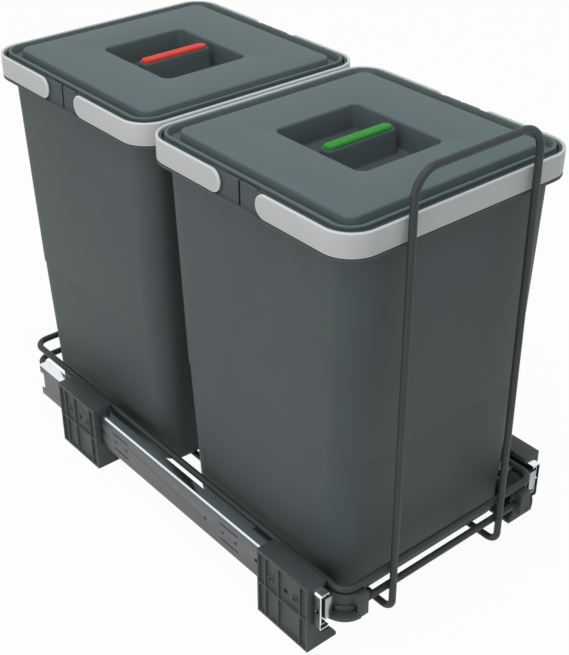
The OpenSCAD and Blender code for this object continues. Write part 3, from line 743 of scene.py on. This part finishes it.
def lid_loops(panel_z, sizes):
    """Loops of a lid, from the recess floor over the panel and bead, and back underneath."""
    recess_z = panel_z - sizes.recess_depth
    edge_z = panel_z - sizes.edge_drop
    skirt_z = edge_z - sizes.skirt_h
    channel_z = panel_z - sizes.channel_drop
    groove_z = edge_z - sizes.groove_d
    sheet = sizes.sheet
    draft = sizes.recess_draft
    loops = []

    most_tighter = 4 * MM

    def recess(grow, z):
        width, depth = sizes.recess_w + grow * 2, sizes.recess_l + grow * 2
        loops.append(rounded_loop(width, depth, sizes.recess_r + max(grow, -most_tighter), z))

    def panel(grow, z):
        width, depth = sizes.panel_w + grow * 2, sizes.panel_l + grow * 2
        loops.append(rounded_loop(width, depth, sizes.panel_r + grow, z))

    def edge(inset, z):
        width, depth = sizes.edge_w - inset * 2, sizes.edge_l - inset * 2
        loops.append(rounded_loop(width, depth, sizes.edge_r - inset, z))

    def quarter(steps):
        return [math.pi / 2 * i / steps for i in range(steps + 1)]

    floor_round = 4 * MM
    for angle in quarter(4):
        lean = floor_round * (1 - math.sin(angle))
        recess(-draft - lean, recess_z + floor_round * (1 - math.cos(angle)))
    lip_lean, lip_drop = 0.35 * MM, 3.0 * MM
    recess(-lip_lean, panel_z - lip_drop)
    lip = 2.2 * MM
    for angle in quarter(4):
        recess(lip * (1 - math.cos(angle)), panel_z - lip + lip * math.sin(angle))
    for angle in quarter(5):
        lean = PANEL_ROUND * (1 - math.sin(angle))
        panel(-lean, panel_z - PANEL_ROUND * (1 - math.cos(angle)))
    for grow, rise in CHANNEL_FOOT:
        panel(grow * MM, channel_z + rise * MM)
    for inset, rise in BEAD_FOOT:
        edge(sizes.bead_w + inset * MM, channel_z + rise * MM)
    for inset, drop in BEAD_INNER_TOP:
        edge(sizes.bead_w + inset * MM, edge_z - drop * MM)
    for inset, drop in BEAD_OUTER_TOP:
        edge(sizes.groove_w + inset * MM, edge_z - drop * MM)
    groove_round = 0.3 * MM
    edge(sizes.groove_w, groove_z + groove_round)
    edge(sizes.groove_w - groove_round, groove_z)
    skirt_round = 0.4 * MM
    edge(skirt_round, groove_z)
    edge(0.0, groove_z - skirt_round)
    edge(0.0, skirt_z + skirt_round)
    edge(skirt_round, skirt_z)
    edge(sheet - skirt_round, skirt_z)
    edge(sheet, skirt_z + skirt_round)
    edge(sheet, channel_z - sheet - 0.5 * MM)
    edge(sheet + 0.6 * MM, channel_z - sheet)
    inner_round = 1 * MM
    panel(inner_round - sheet, channel_z - sheet)
    panel(-sheet, channel_z - sheet + 0.8 * MM)
    panel(-sheet, panel_z - sheet - inner_round)
    panel(-sheet - inner_round, panel_z - sheet)
    recess(sheet + inner_round, panel_z - sheet)
    recess(sheet, panel_z - sheet - inner_round)
    floor_chamfer = 2 * MM
    recess(sheet - draft, recess_z + floor_chamfer)
    recess(sheet - draft - floor_chamfer, recess_z - sheet)
    return loops


def grip_bar_loops(recess_z, bar_top, sizes):
    """Loops of the grip bar that stands on the floor of a lid's recess."""

    flat_end = 2.2 * MM

    def bar(grow, z):
        width = sizes.bar_w + grow * 2
        return rounded_loop(sizes.bar_l + grow * 2, width, width / 2 - flat_end, z)

    rows = [bar(sizes.bar_draft + grow * MM, recess_z + rise * MM) for grow, rise in BAR_FOOT]
    return rows + [bar(grow * MM, bar_top - drop * MM) for grow, drop in BAR_TOP]


def lid_shell(name, y, sizes):
    """One lid: panel, channel and bead on top, a skirt and the plain underside below."""
    panel_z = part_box(name)[1][2]
    bar_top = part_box(name + "_insert")[0][2]
    bm = bmesh.new()
    skin(bm, lid_loops(panel_z, sizes))
    skin(bm, grip_bar_loops(panel_z - sizes.recess_depth, bar_top, sizes))
    piece = finish_mesh(name + "_shell", bm, "lid")
    # Painted shade for the recess pocket and the groove round the bead
    piece.data.materials.append(finish_of("recess"))
    # Painted light for the channel
    piece.data.materials.append(finish_of("channel"))
    channel_z = panel_z - sizes.channel_drop
    edge_z = panel_z - sizes.edge_drop
    groove_z = edge_z - sizes.groove_d
    near = 0.1 * MM
    recess_edge = 1 * MM
    groove_edge = 0.6 * MM
    bead_round = 0.9 * MM

    def inset(x, depth):
        """How far a point lies inside the lid's outline."""
        across = x - sizes.edge_w / 2 + sizes.edge_r
        along = depth - sizes.edge_l / 2 + sizes.edge_r
        return sizes.edge_r - math.hypot(max(across, 0), max(along, 0)) - min(max(across, along), 0)

    for face in piece.data.polygons:
        x, depth, z = abs(face.center.x), abs(face.center.y), face.center.z
        in_recess = x < sizes.recess_w / 2 and depth < sizes.recess_l / 2
        pocket = in_recess and z < panel_z - recess_edge
        outside = inset(x, depth) < sizes.groove_w + groove_edge
        gap = outside and groove_z - near < z < edge_z - bead_round
        # The recess pocket and the groove outside the bead take the painted shade
        if pocket or gap:
            face.material_index = 1
        # The channel's floor and walls take the painted light
        elif channel_z - near < z < panel_z - PANEL_ROUND and not outside:
            face.material_index = 2
    piece.location.y = y
    return piece


def capsule_insert(name, y, sizes, material):
    """A coloured capsule with a rounded top edge."""
    low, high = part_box(name)
    base, top = low[2], high[2]
    rise = top - base
    loops = []
    for inset, share in CAPSULE:
        width = sizes.insert_w - inset * 2 * MM
        along = sizes.insert_l - inset * 2 * MM
        loops.append(rounded_loop(along, width, width / 2, base + rise * share, 10))
    bm = bmesh.new()
    skin(bm, loops)
    piece = finish_mesh(name + "_cap", bm, material)
    piece.location.y = y
    return piece


def ring_wire(node, sizes):
    """One closed ring of wire with round corners."""
    (x0, y0, z0), (x1, y1, z1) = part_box(node)
    r = sizes.wire_d / 2
    z = (z0 + z1) / 2
    left, right, front, back = x0 + r, x1 - r, y0 + r, y1 - r
    corners = [(left, front, z), (right, front, z), (right, back, z), (left, back, z)]
    bm = bmesh.new()
    drawn_wire(bm, bent_path(corners, [sizes.ring_r] * 4, 10, True), r, sizes.sides, True)
    return finish_mesh(node + "_wire", bm, "wire", WIRE_SMOOTH_LIMIT)


def arch_wire(sizes):
    """The pull arch, from its rear ends under the bins and over the top, with its welds."""
    (_, y0, z0), (x1, y1, z1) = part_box("pull_arch")
    ring_low, ring_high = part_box("upper_ring")
    lower_low, lower_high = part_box("lower_ring")
    r = sizes.wire_d / 2
    x, top, leg, front, back = x1 - r, z1 - r, z0 + r, y0 + r, y1 - r
    end_z = ring_high[2]
    corners = [(-x, back, end_z), (-x, back, leg), (-x, front, leg), (-x, front, top)]
    corners += [(x, front, top), (x, front, leg), (x, back, leg), (x, back, end_z)]
    radii = [0, sizes.leg_r, sizes.leg_r, sizes.arch_r, sizes.arch_r, sizes.leg_r, sizes.leg_r, 0]
    bm = bmesh.new()
    points = bent_path(corners, radii, 12)
    for point in points:
        if point.y < 0 and point.z > end_z:
            point.y += sizes.arch_lean * (point.z - end_z) / (top - end_z)
    drawn_wire(bm, points, r, sizes.sides)
    weld_out = r * 0.95  # the blob sinks a little into the ring it joins
    for side in (-1, 1):
        for low, high in ((ring_low, ring_high), (lower_low, lower_high)):
            z = (low[2] + high[2]) / 2
            weld_bead(bm, Vector((side * x, front + weld_out, z)))
            weld_bead(bm, Vector((side * x, back + weld_out, z)))
    return finish_mesh("pull_arch_wire", bm, "wire", WIRE_SMOOTH_LIMIT)


def near_pin(node, end):
    """A test for points on the pivot pins of a handle, which keep their sharp edges."""
    low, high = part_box(node)
    half_h = (high[2] - low[2]) / 2
    z = (low[2] + high[2]) / 2
    y = high[1] - half_h if end == "front" else low[1] + half_h
    reach = 6 * MM
    return lambda point: math.hypot(point.y - y, point.z - z) < reach


def finish_member(piece, node):
    """Keeps bright steel on the outside and ends of a slide, darkens the rest as painted shade, and
    paints shade into its marks.
    """
    low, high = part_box(node)
    outermost = max(abs(low[0]), abs(high[0]))
    half_h = (high[2] - low[2]) / 2
    middle = (low[2] + high[2]) / 2
    fold = 2.4 * MM
    fold_inside = 1.8 * MM
    flange_skin = 0.3 * MM
    mark_reach = 15 * MM
    web_marks = (0.3 * MM, 0.8 * MM)
    hole_walls = (0.05 * MM, 1.1 * MM)
    piece.data.materials.append(finish_of("web"))
    piece.data.materials.append(finish_of("mark"))
    for face in piece.data.polygons:
        depth = outermost - abs(face.center.x)
        height = abs(face.center.z - middle)
        flat = abs(face.normal.x) > 0.97
        cut_end = abs(face.normal.y) > 0.9
        shallow, deep = web_marks if flat else hole_walls
        pressed = shallow < depth < deep and height < mark_reach
        from_fold = math.hypot(fold - depth, height - half_h + fold)
        round_fold = from_fold > fold_inside and depth < fold and height > half_h - fold
        outside = round_fold or height > half_h - flange_skin
        # Pressed marks take painted shade; the web and the inner faces take the darkened steel,
        # also painted shade
        if pressed and not cut_end:
            face.material_index = 2
        elif flat or not (cut_end or (outside and node.startswith("slide_outer"))):
            face.material_index = 1


def paint_node(node, material):
    """Gives a CAD node its finish."""
    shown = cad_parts[node]
    shown.data.materials.clear()
    shown.data.materials.append(finish_of(material))


# Stage


def area_lamp(name, place, aim, size, power):
    """A square soft lamp that faces a point."""
    data = bpy.data.lights.new(name, "AREA")
    data.size = size
    data.energy = power
    data.color = (1.0, 0.985, 0.965)
    lamp = bpy.data.objects.new(name, data)
    lamp.location = place
    lamp.rotation_mode = "QUATERNION"
    lamp.rotation_quaternion = (Vector(aim) - Vector(place)).to_track_quat("-Z", "Y")
    bpy.context.scene.collection.objects.link(lamp)


def seen_share(tree):
    """One for rays from the camera, from a mirror and through glass, and zero for the rest."""
    path = tree.nodes.new("ShaderNodeLightPath")
    seen = path.outputs["Is Camera Ray"]
    for kind in ("Is Glossy Ray", "Is Transmission Ray"):
        more = tree.nodes.new("ShaderNodeMath")
        more.operation = "MAXIMUM"
        tree.links.new(seen, more.inputs[0])
        tree.links.new(path.outputs[kind], more.inputs[1])
        seen = more.outputs[0]
    return seen


def pale_floor():
    """A pale floor that stays white for the camera but keeps a soft shadow."""
    bm = bmesh.new()
    bmesh.ops.create_grid(bm, x_segments=8, y_segments=8, size=FLOOR_REACH)
    mesh = bpy.data.meshes.new("floor")
    bm.to_mesh(mesh)
    bm.free()
    made = bpy.data.objects.new("floor", mesh)
    bpy.context.scene.collection.objects.link(made)
    sheet = NodeSheet("floor_white")
    sheet.tint(sheet.noise(scale=3.0), (0.8, 0.8, 0.8), 0.01)
    sheet.shader.inputs["Roughness"].default_value = 0.9
    glow = sheet.add("ShaderNodeEmission")
    glow.inputs["Color"].default_value = (1, 1, 1, 1)
    mix = sheet.add("ShaderNodeMixShader")
    share = sheet.add("ShaderNodeMath", operation="MULTIPLY")
    sheet.link(seen_share(sheet.tree), share.inputs[0])
    share.inputs[1].default_value = FLOOR_WHITE
    sheet.link(share.outputs[0], mix.inputs["Fac"])
    sheet.link(sheet.shader.outputs["BSDF"], mix.inputs[1])
    sheet.link(glow.outputs["Emission"], mix.inputs[2])
    sheet.link(mix.outputs["Shader"], sheet.tree.nodes["Material Output"].inputs["Surface"])
    mesh.materials.append(sheet.material)


def surroundings(scene, level):
    """Even white surroundings, full white where the camera or a reflection sees them."""
    world = bpy.data.worlds.new("surroundings")
    scene.world = world
    world.use_nodes = True
    tree = world.node_tree
    tree.nodes.clear()
    output = tree.nodes.new("ShaderNodeOutputWorld")
    mix = tree.nodes.new("ShaderNodeMixShader")
    tree.links.new(seen_share(tree), mix.inputs["Fac"])
    shades = (((0.93, 0.975, 1.0, 1.0), level), ((1, 1, 1, 1), 1.0))
    for slot, (rgba, strength) in enumerate(shades, start=1):
        shade = tree.nodes.new("ShaderNodeBackground")
        shade.inputs["Color"].default_value = rgba
        shade.inputs["Strength"].default_value = strength
        tree.links.new(shade.outputs[0], mix.inputs[slot])
    tree.links.new(mix.outputs[0], output.inputs["Surface"])


def photo_camera(scene, values):
    """The camera at the photograph's viewing angle."""
    level = math.cos(values.elevation)
    back = Vector(
        (
            math.sin(values.azimuth) * level,
            -math.cos(values.azimuth) * level,
            math.sin(values.elevation),
        )
    )
    data = bpy.data.cameras.new("camera")
    data.lens = values.lens
    data.sensor_width = 36.0
    data.clip_start, data.clip_end = 0.05, 100.0
    camera = bpy.data.objects.new("camera", data)
    camera.location = Vector(values.target) + back * values.distance
    camera.rotation_mode = "QUATERNION"
    turn = Matrix.Rotation(values.roll, 3, back)
    camera.rotation_quaternion = turn.to_quaternion() @ (-back).to_track_quat("-Z", "Y")
    scene.collection.objects.link(camera)
    scene.camera = camera


# Operators


class WASTE_OT_bins(bpy.types.Operator):
    """Makes both bin shells"""

    bl_idname = "waste.bins"
    bl_label = "Bins"

    def execute(self, context):
        for node in ("front_bin", "rear_bin"):
            piece = bin_shell(node, node_middle(node).y, context.scene.waste_bin)
            stand_for(piece, node, "bin_plastic", node)
        return {"FINISHED"}


class WASTE_OT_lids(bpy.types.Operator):
    """Makes both lids and their coloured inserts"""

    bl_idname = "waste.lids"
    bl_label = "Lids and inserts"

    def execute(self, context):
        sizes = context.scene.waste_lid
        for end, tint in (("front", "green"), ("rear", "red")):
            node = end + "_lid"
            y = node_middle(node).y
            stand_for(lid_shell(node, y, sizes), node, "lid_plastic", node)
            insert = capsule_insert(node + "_insert", y, sizes, tint)
            stand_for(insert, node, tint + "_plastic", node + "_insert")
        return {"FINISHED"}


class WASTE_OT_handles(bpy.types.Operator):
    """Makes the four handle strips with soft edges"""

    bl_idname = "waste.handles"
    bl_label = "Handles"

    def execute(self, context):
        width = context.scene.waste_round.handle
        for bin_end in ("front", "rear"):
            for end in ("front", "rear"):
                node = f"{bin_end}_bin_{end}_handle"
                piece = eased(
                    node + "_strip",
                    node,
                    width,
                    "handle",
                    segments=3,
                    # the rounded edges take the lighter handle colour, a painted highlight
                    edge_finish="handle_edge",
                    keep=near_pin(node, end),
                )
                stand_for(piece, node, "handle_plastic", node)
        return {"FINISHED"}


class WASTE_OT_frame(bpy.types.Operator):
    """Bends both wire rings and the pull arch"""

    bl_idname = "waste.frame"
    bl_label = "Wire frame"

    def execute(self, context):
        sizes = context.scene.waste_wire
        for node in ("upper_ring", "lower_ring"):
            stand_for(ring_wire(node, sizes), "carriage", "wire_paint", node)
        stand_for(arch_wire(sizes), "carriage", "wire_paint", "pull_arch")
        return {"FINISHED"}


class WASTE_OT_brackets(bpy.types.Operator):
    """Makes the four slide brackets and the two corner guides"""

    bl_idname = "waste.brackets"
    bl_label = "Brackets and guides"

    def execute(self, context):
        rounds = context.scene.waste_round
        for side in ("left", "right"):
            moulded_pieces = (
                ("bracket_front_" + side, rounds.bracket, "cabinet_side"),
                ("bracket_rear_" + side, rounds.bracket, "cabinet_side"),
                ("corner_guide_" + side, rounds.guide, "carriage"),
            )
            for node, width, body in moulded_pieces:
                label = node + "_moulding"
                # the rounded edges take the lighter bracket colour, a painted highlight
                piece = eased(label, node, width, "bracket", edge_finish="bracket_edge")
                stand_for(piece, body, "bracket_plastic", node)
        return {"FINISHED"}


class WASTE_OT_slides(bpy.types.Operator):
    """Makes the slide members and end tabs, and finishes the balls, cages, hangers and screws"""

    bl_idname = "waste.slides"
    bl_label = "Slides and fittings"

    def execute(self, context):
        width = context.scene.waste_round.slide
        members = (
            ("slide_outer", "cabinet_side"),
            ("slide_middle", "middle_slides"),
            ("slide_inner", "carriage"),
            ("slide_end_tab", "carriage"),
        )
        for side in ("left", "right"):
            for stem, body in members:
                node = f"{stem}_{side}"
                tab = stem == "slide_end_tab"
                # End tabs take the darkened tab steel, painted shade
                piece = eased(node + "_strip", node, width, "tab" if tab else "steel")
                if not tab:
                    finish_member(piece, node)
                stand_for(piece, body, "slide_steel", node)
            node = "frame_hanger_" + side
            piece = eased(node + "_plate", node, width, "wire")
            stand_for(piece, "carriage", "wire_paint", node)
            for row in ("outer", "inner"):
                paint_node(f"{row}_ball_cage_{side}", "cage")
                paint_node(f"{row}_balls_{side}", "screw")
        paint_node("slide_screws", "screw")
        paint_node("hanger_screws", "screw")
        return {"FINISHED"}


class WASTE_OT_stage(bpy.types.Operator):
    """Sets the floor, the light and the camera"""

    bl_idname = "waste.stage"
    bl_label = "Stage"

    def execute(self, context):
        scene = context.scene
        values = scene.waste_stage
        scene.view_settings.view_transform = "Standard"
        pale_floor()
        surroundings(scene, values.world_level)
        area_lamp(*KEY_LAMP, values.key_power)
        area_lamp(*SIDE_LAMP, values.side_power)
        photo_camera(scene, values)
        return {"FINISHED"}


OPERATORS = (
    WASTE_OT_bins,
    WASTE_OT_lids,
    WASTE_OT_handles,
    WASTE_OT_frame,
    WASTE_OT_brackets,
    WASTE_OT_slides,
    WASTE_OT_stage,
)


class WASTE_PT_panel(bpy.types.Panel):
    """Lists the sizes and the steps that build the unit"""

    bl_idname = "WASTE_PT_panel"
    bl_label = "Pull-out waste unit"
    bl_space_type = "VIEW_3D"
    bl_region_type = "UI"
    bl_category = "Waste Unit"

    def draw(self, context):
        for step in OPERATORS:
            self.layout.operator(step.bl_idname)
        for attribute, group in GROUPS.items():
            box = self.layout.box()
            for name in group.__annotations__:
                box.prop(getattr(context.scene, attribute), name)


def register():
    """Registers the settings, the operators and the panel."""
    for attribute, group in GROUPS.items():
        bpy.utils.register_class(group)
        setattr(bpy.types.Scene, attribute, bpy.props.PointerProperty(type=group))
    for made in (*OPERATORS, WASTE_PT_panel):
        bpy.utils.register_class(made)


def unregister():
    """Removes what register added."""
    for made in (WASTE_PT_panel, *reversed(OPERATORS)):
        bpy.utils.unregister_class(made)
    for attribute, group in reversed(GROUPS.items()):
        delattr(bpy.types.Scene, attribute)
        bpy.utils.unregister_class(group)


def main():
    """Builds every piece in order."""
    register()
    for step in ("bins", "lids", "handles", "frame", "brackets", "slides", "stage"):
        getattr(bpy.ops.waste, step)()


if __name__ == "__main__":
    main()
